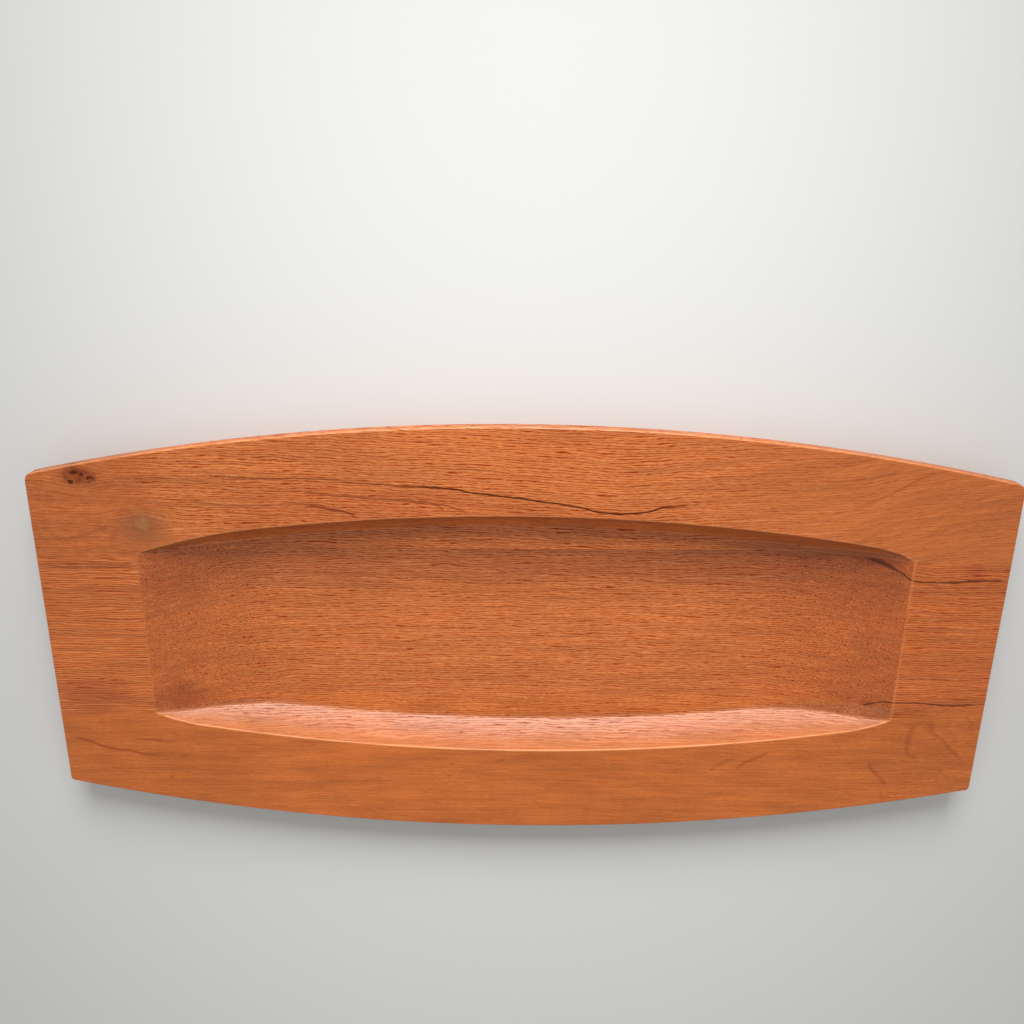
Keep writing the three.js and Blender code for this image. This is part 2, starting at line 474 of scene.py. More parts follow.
class Recipe:
    """A material's nodes, laid down one after another. Lengths in it are millimetres.

    above_foot is 0 at the underside and 1 from 5 mm up. It keeps the hollow's own marks off the wood below.
    """

    def __init__(self, name):
        self.material = bpy.data.materials.new(name)
        self.material.use_nodes = True
        self.tree = self.material.node_tree
        self.shader = self.tree.nodes["Principled BSDF"]
        place = self.lay("TexCoord", {}, "Object")
        self.place = self.lay("Mapping", {"Vector": place, "Scale": (MM, MM, MM)})
        self.x = self.lay("SeparateXYZ", {"Vector": self.place}, "X")
        self.y = self.lay("SeparateXYZ", {"Vector": self.place}, "Y")
        self.z = self.lay("SeparateXYZ", {"Vector": self.place}, "Z")
        self.above_foot = self.band(self.z, 3, 5)

    def lay(self, kind, inputs, output=0, **settings):
        """Adds a node, sets it up, and feeds its inputs with numbers or with other nodes' outputs."""
        node = self.tree.nodes.new("ShaderNode" + kind)
        for setting, value in settings.items():
            setattr(node, setting, value)
        for key, value in inputs.items():
            if isinstance(value, bpy.types.NodeSocket):
                self.tree.links.new(value, node.inputs[key])
            else:
                node.inputs[key].default_value = value
        return node.outputs[output]

    def math(self, operation, *values):
        return self.lay("Math", dict(enumerate(values)), operation=operation)

    def add(self, *values):
        total = values[0]
        for value in values[1:]:
            total = self.math("ADD", total, value)
        return total

    def times(self, *values):
        product = values[0]
        for value in values[1:]:
            product = self.math("MULTIPLY", product, value)
        return product

    def strongest(self, *values):
        top = values[0]
        for value in values[1:]:
            top = self.math("MAXIMUM", top, value)
        return top

    def at(self, x, y, z):
        return self.lay("CombineXYZ", {"X": x, "Y": y, "Z": z})

    def band(self, value, low, high, to_low=0.0, to_high=1.0):
        """Carries a value smoothly from one range to another."""
        return self.lay(
            "MapRange",
            {"Value": value, "From Min": low, "From Max": high, "To Min": to_low, "To Max": to_high},
            interpolation_type="SMOOTHSTEP",
        )

    def noise(self, place, along, across, up, detail, shift):
        """Noise whose grains have these lengths along the board, across it and up."""
        stretched = self.lay(
            "Mapping",
            {"Vector": place, "Location": (shift, shift, shift), "Scale": (1 / along, 1 / across, 1 / up)},
        )
        return self.lay("TexNoise", {"Vector": stretched, "Scale": 1.0, "Detail": detail}, "Fac")

    def swing(self, place, along, across, up, reach, shift):
        """A slow wander of up to about this reach to either side of nothing."""
        wander = self.noise(place, along, across, up, 1.0, shift)
        return self.times(self.add(wander, -0.5), 2 * reach)

    def path(self, points, steep=False):
        """A line drawn along the board through points, as its place across at every place along. A steep
        line has its points the other way round: their place across first, from the front to the back."""
        low = min(point[1] for point in points)
        high = max(point[1] for point in points)
        first = points[0][0]
        last = points[-1][0]
        place = self.y if steep else self.x
        along = self.lay("MapRange", {"Value": place, "From Min": first, "From Max": last})
        curve = self.tree.nodes.new("ShaderNodeFloatCurve")
        self.tree.links.new(along, curve.inputs["Value"])
        knots = curve.mapping.curves[0].points
        for index, (place_along, place_across) in enumerate(points):
            spot = ((place_along - first) / (last - first), (place_across - low) / (high - low))
            if index in (0, len(points) - 1):
                knots[0 if index == 0 else -1].location = spot
            else:
                knots.new(*spot)
        curve.mapping.update()
        return self.lay("MapRange", {"Value": curve.outputs[0], "To Min": low, "To Max": high})

    def line_along(self, across, points, core, width, fade, steep=False):
        """A line through points, full inside its core, soft to its width and fading out at both ends."""
        away = self.math("ABSOLUTE", self.math("SUBTRACT", across, self.path(points, steep)))
        place = self.y if steep else self.x
        first = points[0][0]
        last = points[-1][0]
        start = self.band(place, first, first + fade)
        end = self.band(place, last - fade, last, 1.0, 0.0)
        return self.times(self.band(away, core, width, 1.0, 0.0), start, end)

    def away(self, across, centre, size):
        """How far a place lies from the middle of an oval: 1 on the oval itself."""
        dx = self.times(self.add(self.x, -centre[0]), 1 / size[0])
        dy = self.times(self.add(across, -centre[1]), 1 / size[1])
        return self.math("SQRT", self.add(self.times(dx, dx), self.times(dy, dy)))

    def spot(self, across, centre, size, inner=0.2, outer=1.0):
        """A soft-edged oval: full up to a share of its size, and faded out at another."""
        return self.band(self.away(across, centre, size), inner, outer, 1.0, 0.0)

    def oval_line(self, across, centre, size, width):
        """A soft line round an oval."""
        from_line = self.math("ABSOLUTE", self.add(self.away(across, centre, size), -1.0))
        return self.band(from_line, width, 0.0)

    def side_gap(self):
        """How far inside the nearer long side of the slab's outline a place lies."""
        beyond = self.add(self.math("ABSOLUTE", self.y), -MM * SIDE_CENTRE)
        from_centre = self.math("SQRT", self.add(self.times(self.x, self.x), self.times(beyond, beyond)))
        return self.math("SUBTRACT", MM * SIDE_RADIUS, from_centre)

    def end_gap(self):
        """How far inside the nearer end of the slab a place lies, at its own height on the bevel."""
        bevel_run = BEVEL_WIDTH / (THICKNESS - EDGE_BAND_HEIGHT)
        reach = self.add(self.times(self.z, bevel_run), MM * (TRAY_LENGTH / 2 - BEVEL_WIDTH))
        reach = self.math("MINIMUM", reach, MM * TRAY_LENGTH / 2)
        return self.math("SUBTRACT", reach, self.math("ABSOLUTE", self.x))

    def hollow_end_gaps(self):
        """How far short of the left and the right end of the hollow a place lies."""
        left = self.add(self.x, MM * (HOLLOW_HALF_LENGTH - HOLLOW_MIDDLE_X))
        right = self.math("SUBTRACT", MM * (HOLLOW_HALF_LENGTH + HOLLOW_MIDDLE_X), self.x)
        return left, right

    def rim_gap(self, rim_width, left_draw, left_draw_length):
        """How far outside the hollow's long edge a place lies, and less than nothing inside the edge."""
        edge = MM * rim_width
        draws = ((left_draw, left_draw_length), (CORNER_DRAW, CORNER_DRAW_LENGTH))
        for gap, (draw, draw_length) in zip(self.hollow_end_gaps(), draws):
            share = self.math("MAXIMUM", self.add(1.0, self.times(gap, -1 / (MM * draw_length))), 0.0)
            edge = self.add(self.times(share, share, MM * draw), edge)
        return self.math("SUBTRACT", edge, self.side_gap())

    def mix(self, share, first, second, blend="MIX"):
        """Carries the first colour over to the second, or blends them, as far as share says."""
        return self.lay("Mix", {0: share, 6: first, 7: second}, 2, data_type="RGBA", blend_type=blend)

    def shade(self, colour, amount):
        """Multiplies a colour by a grey amount."""
        return self.mix(1.0, colour, self.at(amount, amount, amount), blend="MULTIPLY")

    def tint(self, colour, share, factor):
        """Multiplies a colour by another, where and as far as share says."""
        return self.mix(share, colour, (*factor, 1), blend="MULTIPLY")


# How far apart the wood's fine lines lie, in millimetres
LINE_PITCH = 1.55

# What the wood's colour is multiplied by in a dark and in a pale line, and where its fibres are cut across
DARK_THREAD = (0.74, 0.42, 0.04)
PALE_THREAD = (1.17, 1.48, 2.9)
ACROSS_GRAIN = (0.83, 0.77, 0.68)

# The colour of its pores, and the one that its worn edges come near to
PORE_BROWN = (0.25, 0.020, 0.0, 1)
RUBBED_PALE = (0.80, 0.34, 0.12, 1)


def across_grain_share(wood, rim_gap, nearer_end):
    """Where the fibres are cut across: more and more up both ramps, and on both end faces."""
    wall_reach = wood.times(wood.add(wood.z, -MM * THICKNESS), WALL_LEAN / HOLLOW_DEPTH)
    from_wall = wood.math("SUBTRACT", wall_reach, rim_gap)
    ramp = wood.times(
        wood.band(nearer_end, MM * RAMP_LENGTH, 20),
        wood.band(nearer_end, -1.0, 0.0),
        wood.band(wood.z, 27.95, 27.5),
        wood.band(from_wall, 0.3, 1.5),
        wood.above_foot,
    )
    end_face = wood.times(wood.band(wood.end_gap(), 1.5, 0.4), wood.band(wood.z, 27.6, 26.6))
    return wood.strongest(ramp, end_face)


def oiled_wood(name, light, dark, grain, ring_lengths, pore_map, line_map, rim, marks, shift):
    """One board's oiled wood.

    light and dark are the colours that its rings swing between, and ring_lengths says how long, wide and
    high its rings run on. grain gives the place across the grain, for the rings and for the fibres.
    pore_map says how strong the pores are over the board, and line_map how strong and how unbroken its fine
    lines are. rim is the width of the rim beside it, with how far and over what length the hollow draws in
    at that rim's left corner. marks adds what only this board has, and says where that is dull. shift moves
    the noise of the grain, so that no two boards are alike.
    """
    wood = Recipe(name)
    ring_y, fibre_y = grain(wood)
    waver = wood.swing(wood.place, 55, 22, 30, 1.3, shift)
    ripple = wood.swing(wood.place, 12, 6, 8, 0.35, shift + 5)
    fibre_y = wood.add(fibre_y, waver, ripple)
    ring_y = wood.add(ring_y, waver, wood.swing(wood.place, 140, 45, 60, 6.0, shift + 3))
    fibre = wood.at(wood.x, fibre_y, wood.z)
    ring_up = wood.add(wood.z, wood.swing(wood.place, 120, 60, 80, 5.0, shift + 7))
    ring = wood.at(wood.x, ring_y, ring_up)

    along, across, up = ring_lengths
    rings = wood.noise(ring, along, across, up, 2.0, shift + 11)
    tone = wood.mix(wood.band(rings, 0.32, 0.68), (*dark, 1), (*light, 1))
    blotch = wood.noise(wood.place, 60, 34, 34, 2.0, shift + 17)
    tone = wood.shade(tone, wood.band(blotch, 0.3, 0.7, 0.95, 1.05))

    rim_gap = wood.rim_gap(*rim)
    nearer_end = wood.math("MINIMUM", *wood.hollow_end_gaps())
    across_grain = across_grain_share(wood, rim_gap, nearer_end)
    tone = wood.tint(tone, across_grain, ACROSS_GRAIN)

    wander = wood.noise(fibre, 22, 3.2, 3.0, 1.0, shift + 19)
    scatter = wood.times(wood.noise(fibre, 1.8, 1.4, 0.5, 0.0, shift + 27), across_grain, 1.8)
    turns = wood.add(wood.times(fibre_y, 1 / LINE_PITCH), wood.times(wander, 2.2), scatter)
    lines = wood.math("SINE", wood.times(turns, 2 * math.pi))
    strength, evenness = line_map(wood)
    pieces = wood.band(wood.noise(fibre, 3.2, 1.1, 0.25, 0.0, shift + 21), 0.36, 0.64)
    threads = wood.times(lines, wood.strongest(pieces, evenness))
    streaks = wood.band(wood.noise(fibre, 60, 1.7, 2.5, 1.0, shift + 13), 0.36, 0.64, 0.10, -0.16)
    tone = wood.shade(tone, wood.add(1.0, wood.times(streaks, wood.add(evenness, 0.3))))
    share = wood.times(strength, wood.band(across_grain, 0.0, 1.0, 1.0, 1.15))
    tone = wood.tint(tone, wood.times(wood.band(threads, 0.0, 1.0), share), DARK_THREAD)
    tone = wood.tint(tone, wood.times(wood.band(threads, 0.0, -1.0), share), PALE_THREAD)

    density = wood.noise(ring, 38, 6, 8, 1.0, shift + 23)
    dashes = wood.noise(fibre, 6.0, 1.1, 0.25, 0.0, shift + 29)
    dashes = wood.add(dashes, wood.times(wood.add(density, -0.5), 0.22))
    pores = wood.times(
        wood.band(lines, 0.2, 0.9),
        wood.band(dashes, 0.46, 0.62),
        pore_map(wood),
        wood.band(across_grain, 0.0, 1.0, 0.9, 0.6),
    )
    tone = wood.mix(pores, tone, PORE_BROWN)
    height = wood.times(pores, -0.6)

    tone, height, dull = marks(wood, tone, height)
    tone = wood.mix(wood.times(worn_edges(wood, rim_gap, nearer_end), 0.4), tone, RUBBED_PALE)

    dull = wood.strongest(dull, pores)
    rough = wood.add(wood.times(dull, 0.3), wood.band(blotch, 0.3, 0.7, 0.37, 0.44))
    wood.tree.links.new(tone, wood.shader.inputs["Base Color"])
    wood.tree.links.new(rough, wood.shader.inputs["Roughness"])
    bump = wood.lay("Bump", {"Strength": 0.4, "Distance": 0.0002, "Height": height})
    wood.tree.links.new(bump, wood.shader.inputs["Normal"])
    wood.tree.links.new(wood.band(dull, 0.0, 1.0, 0.5, 0.1), wood.shader.inputs["Specular IOR Level"])
    return wood.material


def worn_edges(wood, rim_gap, nearer_end):
    """Where hands and cloths have rubbed the edges pale: round the outline, at the foot of the upright
    band, and round the hollow."""
    side = wood.side_gap()
    end = wood.math("SUBTRACT", MM * TRAY_LENGTH / 2, wood.math("ABSOLUTE", wood.x))
    patchy = wood.band(wood.noise(wood.place, 30, 30, 30, 2.0, 71), 0.3, 0.6, 0.45, 1.0)
    outline = wood.times(
        wood.band(wood.math("MINIMUM", side, end), 1.1, 0.2),
        wood.band(wood.z, 26.2, 27.2),
    )
    from_foot = wood.math("ABSOLUTE", wood.add(wood.z, -MM * (THICKNESS - EDGE_BAND_HEIGHT)))
    foot = wood.times(
        wood.band(from_foot, 1.3, 0.3),
        wood.band(wood.math("MINIMUM", side, wood.end_gap()), 1.5, 0.3),
    )
    hollow_side = wood.times(
        wood.band(wood.math("ABSOLUTE", rim_gap), 1.1, 0.2),
        wood.band(nearer_end, -1.0, 1.0),
    )
    hollow_end = wood.times(
        wood.band(wood.math("ABSOLUTE", nearer_end), 1.3, 0.3),
        wood.band(rim_gap, 0.5, -0.5),
        wood.band(wood.x, -100, 100, 0.15, 0.4),
    )
    hollow = wood.times(wood.strongest(hollow_side, hollow_end), wood.band(wood.z, 26.6, 27.4))
    return wood.times(wood.strongest(outline, foot, hollow), patchy)


def drawn_lines(wood, across, lines, steep=False):
    """The strongest of several lines, each with its points, core, width, fade and strength."""
    return wood.strongest(*(
        wood.times(wood.line_along(across, points, core, width, fade, steep), strength)
        for points, core, width, fade, strength in lines
    ))


# The back board

DARK_KNOT = (-272, 108)
PIN_KNOT = (-236, 77)
BACK_GRAIN = [
    (-305, 112), (-203, 110), (-125, 107), (-76, 103), (-28, 99), (34, 91), (60, 87.5), (107, 92),
    (150, 97), (199, 104), (222, 115), (257, 130), (305, 146),
]
RING_BROWN = (0.20, 0.048, 0.014, 1)
FIGURE_BROWN = (0.14, 0.020, 0.003, 1)
HAIRLINE_BLACK = (0.060, 0.008, 0.001, 1)
KNOT_STAIN = (0.23, 0.044, 0.005, 1)
KNOT_BLACK = (0.055, 0.008, 0.001, 1)
PIN_HALO = (0.28, 0.080, 0.019, 1)
PIN_RIM = (0.20, 0.062, 0.016, 1)
PIN_WOOD = (0.36, 0.150, 0.040, 1)


def back_grain(wood):
    """The grain sinks along the hairline, climbs towards the right corner, and parts round both knots."""
    drift = wood.path(BACK_GRAIN)
    parted = wood.y
    for knot, size in ((DARK_KNOT, (26, 20)), (PIN_KNOT, (30, 20))):
        near = wood.spot(wood.y, knot, size, 0.0)
        parted = wood.math("SUBTRACT", parted, wood.times(near, wood.add(wood.y, -knot[1]), 0.75))
    ring_y = wood.math("SUBTRACT", parted, drift)
    fibre_y = wood.add(parted, wood.times(drift, -0.35), wood.times(wood.z, 0.35))
    return ring_y, fibre_y


def back_pores(wood):
    """Strong in the left half, weak towards the right, round the pin knot and in the left corner."""
    left_corner = wood.band(wood.x, -262, -212, 0.3, 1.0)
    to_right = wood.band(wood.x, 40, 230, 1.0, 0.35)
    near_pin = wood.add(1.0, wood.times(wood.spot(wood.y, PIN_KNOT, (34, 22)), -0.8))
    return wood.times(left_corner, to_right, near_pin)


def back_lines(wood):
    """Broken everywhere, weaker in the left corner and towards the right."""
    to_right = wood.band(wood.x, 40, 230, 1.0, 0.45)
    return wood.times(wood.band(wood.x, -262, -200, 0.7, 1.15), to_right), 0.15


def back_marks(wood, tone, height):
    """Both knots, the hairline that runs out of the left half, the lines of the figure, the zones that are
    darker or lighter than the rest, and painted light that lightens the back wall's shadow on the floor
    beside it."""
    on_top = wood.band(wood.z, 12, 20)
    ring_y = back_grain(wood)[0]

    ring_place = wood.add(
        wood.times(ring_y, 1 / 5.5), wood.swing(wood.place, 90, 30, 40, 1.6, 31), wood.times(wood.z, 0.05)
    )
    from_ring = wood.math("ABSOLUTE", wood.add(wood.math("FRACT", ring_place), -0.5))
    patches = wood.band(wood.noise(wood.place, 70, 14, 20, 1.0, 37), 0.46, 0.62)
    ring_lines = wood.times(wood.band(from_ring, 0.09, 0.0), patches, wood.band(wood.x, 60, -60, 0.2, 0.5))
    tone = wood.mix(ring_lines, tone, RING_BROWN)

    rough_y = wood.add(wood.y, wood.swing(wood.place, 9, 5, 5, 0.7, 41))
    hairline = [
        (-203, 110.3), (-170, 107.3), (-125, 107.2), (-76, 103.4), (-55, 102.7), (-28, 98.9),
        (3, 95.4), (34, 91.0), (55, 87.1), (75, 88.6), (86, 91.3), (107, 92.9),
    ]
    second = [(-137, 98.8), (-116, 97.1), (-97, 95.5), (-73, 93.8), (-55, 92.1), (-46, 90.3), (-34, 84.8)]
    third_bend = [(-126, 89.0), (-107, 85.0), (-101, 78.7)]
    third = [(-211, 95.3), (-187, 89.8), (-156, 90.2), (-141, 91.1), *third_bend]
    third_end = [(-136, 90.6), *third_bend]
    branch = [(-190, 108.6), (-155, 106.6), (-140, 107.4), (-107, 105.0), (-80, 103.6)]
    right_low = [(199, 90.2), (211, 96.1), (222, 101.4), (231, 106.6), (242, 112.8), (257, 116.4)]
    right_high = [(206, 109.5), (215, 113.4), (225, 116.0), (233, 119.3)]
    inner = [(-66, 93.6), (-58, 92.7), (-52, 89.6), (-49, 84.7)]
    corner = [(-286, 64.4), (-279, 67.8), (-270, 70.5), (-263, 73.3), (-255, 75.3)]
    bold = wood.band(wood.x, -110, -45, 0.35, 1.0)
    split = wood.times(wood.line_along(rough_y, hairline, 0.22, 0.85, 20), bold, on_top)
    under = wood.band(wood.math("SUBTRACT", wood.path(hairline), wood.y), 0, 5)
    under = wood.times(under, wood.band(wood.x, -200, -165), wood.band(wood.x, 100, 60), on_top)
    tone = wood.tint(tone, under, (0.88, 0.81, 0.77))
    # Painted light: below 10 mm up, fading out by 20 mm, and left of about x = 100 mm, this board is made
    # paler, which lightens the back wall's shadow on the floor
    floor_painted_light = wood.times(wood.band(wood.z, 20, 10), wood.band(wood.x, 190, 100), wood.above_foot)
    tone = wood.tint(tone, floor_painted_light, (1.13, 1.11, 1.08))
    figure = wood.times(on_top, drawn_lines(wood, rough_y, (
        (second, 0.2, 1.0, 4, 0.6),
        (inner, 0.2, 1.0, 2, 0.6),
        (corner, 0.2, 1.8, 5, 0.25),
        (third, 0.1, 1.0, 14, 0.45),
        (third_end, 0.2, 1.2, 6, 0.85),
        (branch, 0.1, 0.8, 10, 0.4),
        (right_low, 0.0, 1.8, 8, 0.3),
        (right_high, 0.0, 1.8, 8, 0.3),
    )))
    tone = wood.tint(tone, wood.band(wood.x, 60, 190), (0.93, 0.89, 0.88))
    mottle = wood.band(wood.noise(wood.place, 7, 4, 4, 3.0, 33), 0.4, 0.62)
    left_corner = wood.band(wood.x, -212, -245)
    tone = wood.tint(tone, wood.times(mottle, left_corner), (0.91, 0.84, 0.76))
    tone = wood.tint(tone, left_corner, (0.90, 0.86, 0.82))
    tone = wood.mix(figure, tone, FIGURE_BROWN)
    tone = wood.mix(split, tone, HAIRLINE_BLACK)

    warped_y = wood.add(wood.y, wood.swing(wood.place, 5, 4, 6, 2.2, 47))
    stain = wood.times(wood.spot(warped_y, DARK_KNOT, (19, 11), 0.0), on_top)
    tone = wood.mix(wood.times(stain, 0.95), tone, KNOT_STAIN)
    ragged = wood.band(wood.noise(wood.place, 2.4, 2.0, 4, 2.0, 43), 0.32, 0.52, 0.15, 1.0)
    bent_y = wood.add(wood.y, wood.swing(wood.place, 4, 3, 4, 1.2, 45))
    knot_rings = wood.strongest(
        wood.oval_line(bent_y, (-275, 107.9), (5.0, 4.6), 0.45),
        wood.oval_line(bent_y, (-266, 106.2), (4.2, 3.0), 0.50),
    )
    specks = wood.strongest(
        wood.spot(bent_y, (-274.2, 110.0), (5.2, 2.9)),
        wood.spot(bent_y, (-269.2, 109.0), (3.2, 2.5)),
        wood.spot(bent_y, (-265.0, 105.6), (4.8, 2.8)),
        wood.spot(bent_y, (-277.0, 103.6), (4.2, 1.9)),
    )
    knot = wood.times(wood.strongest(wood.times(knot_rings, 0.5), specks), ragged, on_top)
    tone = wood.mix(wood.times(knot, 0.95), tone, KNOT_BLACK)

    halo = wood.times(wood.spot(warped_y, (-236, 74), (24, 17), 0.1), on_top)
    tone = wood.mix(wood.times(halo, 0.85), tone, PIN_HALO)
    speckle = wood.band(wood.noise(wood.place, 1.1, 1.1, 1.1, 1.0, 53), 0.4, 0.6, 0.75, 1.2)
    pin = wood.times(wood.spot(warped_y, PIN_KNOT, (5.6, 5.2), 0.55, 1.1), on_top)
    rim = wood.times(wood.spot(warped_y, PIN_KNOT, (8.0, 7.2), 0.6), on_top)
    tone = wood.mix(wood.times(rim, 0.4), tone, PIN_RIM)
    tone = wood.mix(wood.times(pin, 0.55), tone, wood.shade(PIN_WOOD, speckle))
    height = wood.add(height, wood.times(split, -0.8), wood.times(knot, -0.8))
    return tone, height, wood.strongest(split, knot, wood.times(stain, 0.6), wood.times(figure, 0.7))


# The middle board

MINERAL_BLACK = (0.070, 0.013, 0.003, 1)
FLOOR_LINE_BROWN = (0.22, 0.032, 0.004, 1)


def middle_grain(wood):
    """Straight."""
    return wood.y, wood.y


def middle_pores(wood):
    """Even over the floor, fewer beside the front joint, and less marked on the rim."""
    return wood.times(wood.band(wood.z, 18, 27, 0.85, 0.6), wood.band(wood.y, -53, -38, 0.6, 1.0))


def middle_lines(wood):
    """The fine lines are less broken on the rim at both ends, most of all at the left one."""
    on_rim = wood.band(wood.z, 26, 28)
    return 1.15, wood.add(wood.times(on_rim, wood.band(wood.x, -220, 230, 0.4, 0.2)), 0.15)


def middle_marks(wood, tone, height):
    """The dark streaks beside both joints, the darker zones of both ends and of the floor, and painted
    shade: in part the back wall's shadow over the back of the floor, and a shadow in the hollow's back
    right corner.
    """
    on_top = wood.band(wood.z, 10, 15)
    rough_y = wood.add(wood.y, wood.swing(wood.place, 9, 4, 4, 0.7, 41))
    soft_y = wood.add(wood.y, wood.swing(wood.place, 30, 12, 12, 8.0, 43))

    left_zone = wood.times(wood.spot(soft_y, (-277, -42), (36, 17)), wood.band(wood.z, 20, 26))
    ramp_zone = wood.times(wood.spot(soft_y, (-226, -46), (26, 13)), on_top)
    back_patch = wood.spot(soft_y, (283, 50), (9, 8))
    front_patch = wood.spot(rough_y, (229, -45.5), (8, 3.2))
    patch = wood.times(wood.strongest(back_patch, front_patch), on_top)
    tone = wood.tint(tone, wood.band(wood.z, 26, 28), (1.00, 0.94, 0.78))
    tone = wood.tint(tone, wood.times(left_zone, 0.9), (0.84, 0.74, 0.66))
    tone = wood.tint(tone, wood.times(ramp_zone, 0.9), (0.72, 0.60, 0.54))
    # Darker towards the back of the board, weaker on the rim: partly the board's own darker back edge, and
    # partly a painted shadow of the back wall on the floor
    back_tone_and_shadow = wood.times(
        wood.band(soft_y, 8, 46), wood.band(wood.z, 24, 28, 1.0, 0.35), wood.above_foot
    )
    tone = wood.tint(tone, back_tone_and_shadow, (0.76, 0.75, 0.76))
    tone = wood.tint(tone, wood.band(wood.x, 110, 190), (0.98, 0.92, 0.87))
    tone = wood.tint(tone, wood.times(patch, 0.9), (0.80, 0.62, 0.55))
    brown_edge = wood.path([(-80, 46), (-28, 41), (30, 38), (110, 39), (200, 46)])
    brown_y = wood.math("SUBTRACT", soft_y, brown_edge)
    # The back of the floor beyond a drawn edge is darker: partly the wood's own tone, and partly a painted
    # shadow of the back wall
    brown_and_shadow = wood.times(
        wood.band(brown_y, -3, 3), wood.band(wood.z, 16, 10), wood.band(wood.x, -70, 0), wood.above_foot
    )
    tone = wood.tint(tone, brown_and_shadow, (0.93, 0.89, 0.87))

    # Painted shade: a soft shadow in the hollow's back right corner, on the foot of the back wall and the
    # floor beside it
    corner_shadow = wood.spot(soft_y, (225, 57), (24, 11))
    corner_shadow = wood.times(corner_shadow, wood.band(wood.z, 27, 24), wood.above_foot)
    tone = wood.tint(tone, corner_shadow, (0.80, 0.68, 0.62))

    wedge = [(213, 58), (223, 55.5), (231, 52.4), (240, 48)]
    streak = [
        (223, 55.5), (228, 53.6), (234, 51.1), (239, 48.6), (244, 45.4), (255, 44.1), (274, 44.4),
        (285, 45.5), (306, 44.8),
    ]
    mineral = [
        (200, -49.8), (220, -49.1), (231, -45.8), (245, -41.7), (259, -41.6), (275, -42.9), (306, -42.1),
    ]
    mineral_low = [(240, -46.5), (262, -46.2), (290, -47.2), (306, -46.6)]
    left_high = [(-306, 49.2), (-275, 49.9), (-244, 50.6)]
    left_low = [(-306, 46.9), (-280, 47.6), (-240, 48.2)]
    floor_line = [(80, 35), (109, 33.8), (142, 32.7), (163, 31.1), (190, 31)]
    dark = wood.times(on_top, drawn_lines(wood, rough_y, (
        (wedge, 0.4, 2.4, 9, 0.8),
        (streak, 0.2, 1.0, 10, 0.85),
        (mineral, 0.1, 1.0, 14, 0.85),
        (mineral_low, 0.0, 0.9, 14, 0.35),
        (left_high, 0.1, 0.9, 4, 0.5),
        (left_low, 0.1, 1.0, 14, 0.55),
    )))
    faint = wood.times(wood.line_along(rough_y, floor_line, 0.1, 0.9, 30), 0.45)
    tone = wood.mix(dark, tone, MINERAL_BLACK)
    tone = wood.mix(faint, tone, FLOOR_LINE_BROWN)
    return tone, height, wood.times(dark, 0.8)


# The front board

STREAK_BROWN = (0.20, 0.032, 0.005, 1)
SWIRL_BROWN = (0.22, 0.050, 0.013, 1)


def front_grain(wood):
    """The fibres lean, so that the long wall cuts through more of them."""
    return wood.y, wood.add(wood.y, wood.times(wood.z, -0.35))


def front_pores(wood):
    """Hardly any, but for the floor and the layer that the foot of the long wall cuts through."""
    side = wood.side_gap()
    foot_layer = wood.times(wood.band(side, 62, 67), wood.band(side, 78, 74), wood.above_foot)
    patches = wood.band(wood.noise(wood.place, 40, 20, 20, 1.0, 73), 0.35, 0.6, 0.6, 1.3)
    on_floor = wood.times(wood.band(side, 72, 76), wood.band(wood.z, 22, 16), 0.6)
    return wood.strongest(wood.times(foot_layer, patches, 0.8), on_floor, 0.12)


def front_lines(wood):
    """Half as strong on the rim, a little more at its right end, full in the hollow, and strongest on the
    long wall."""
    side = wood.side_gap()
    hollow = wood.times(wood.band(side, 58, 66), wood.band(wood.z, 27.9, 27.0), wood.above_foot)
    wall = wood.times(hollow, wood.band(side, 78, 74))
    return wood.strongest(wood.band(wood.x, 150, 290, 0.5, 0.7), hollow, wood.times(wall, 1.2)), 0.15


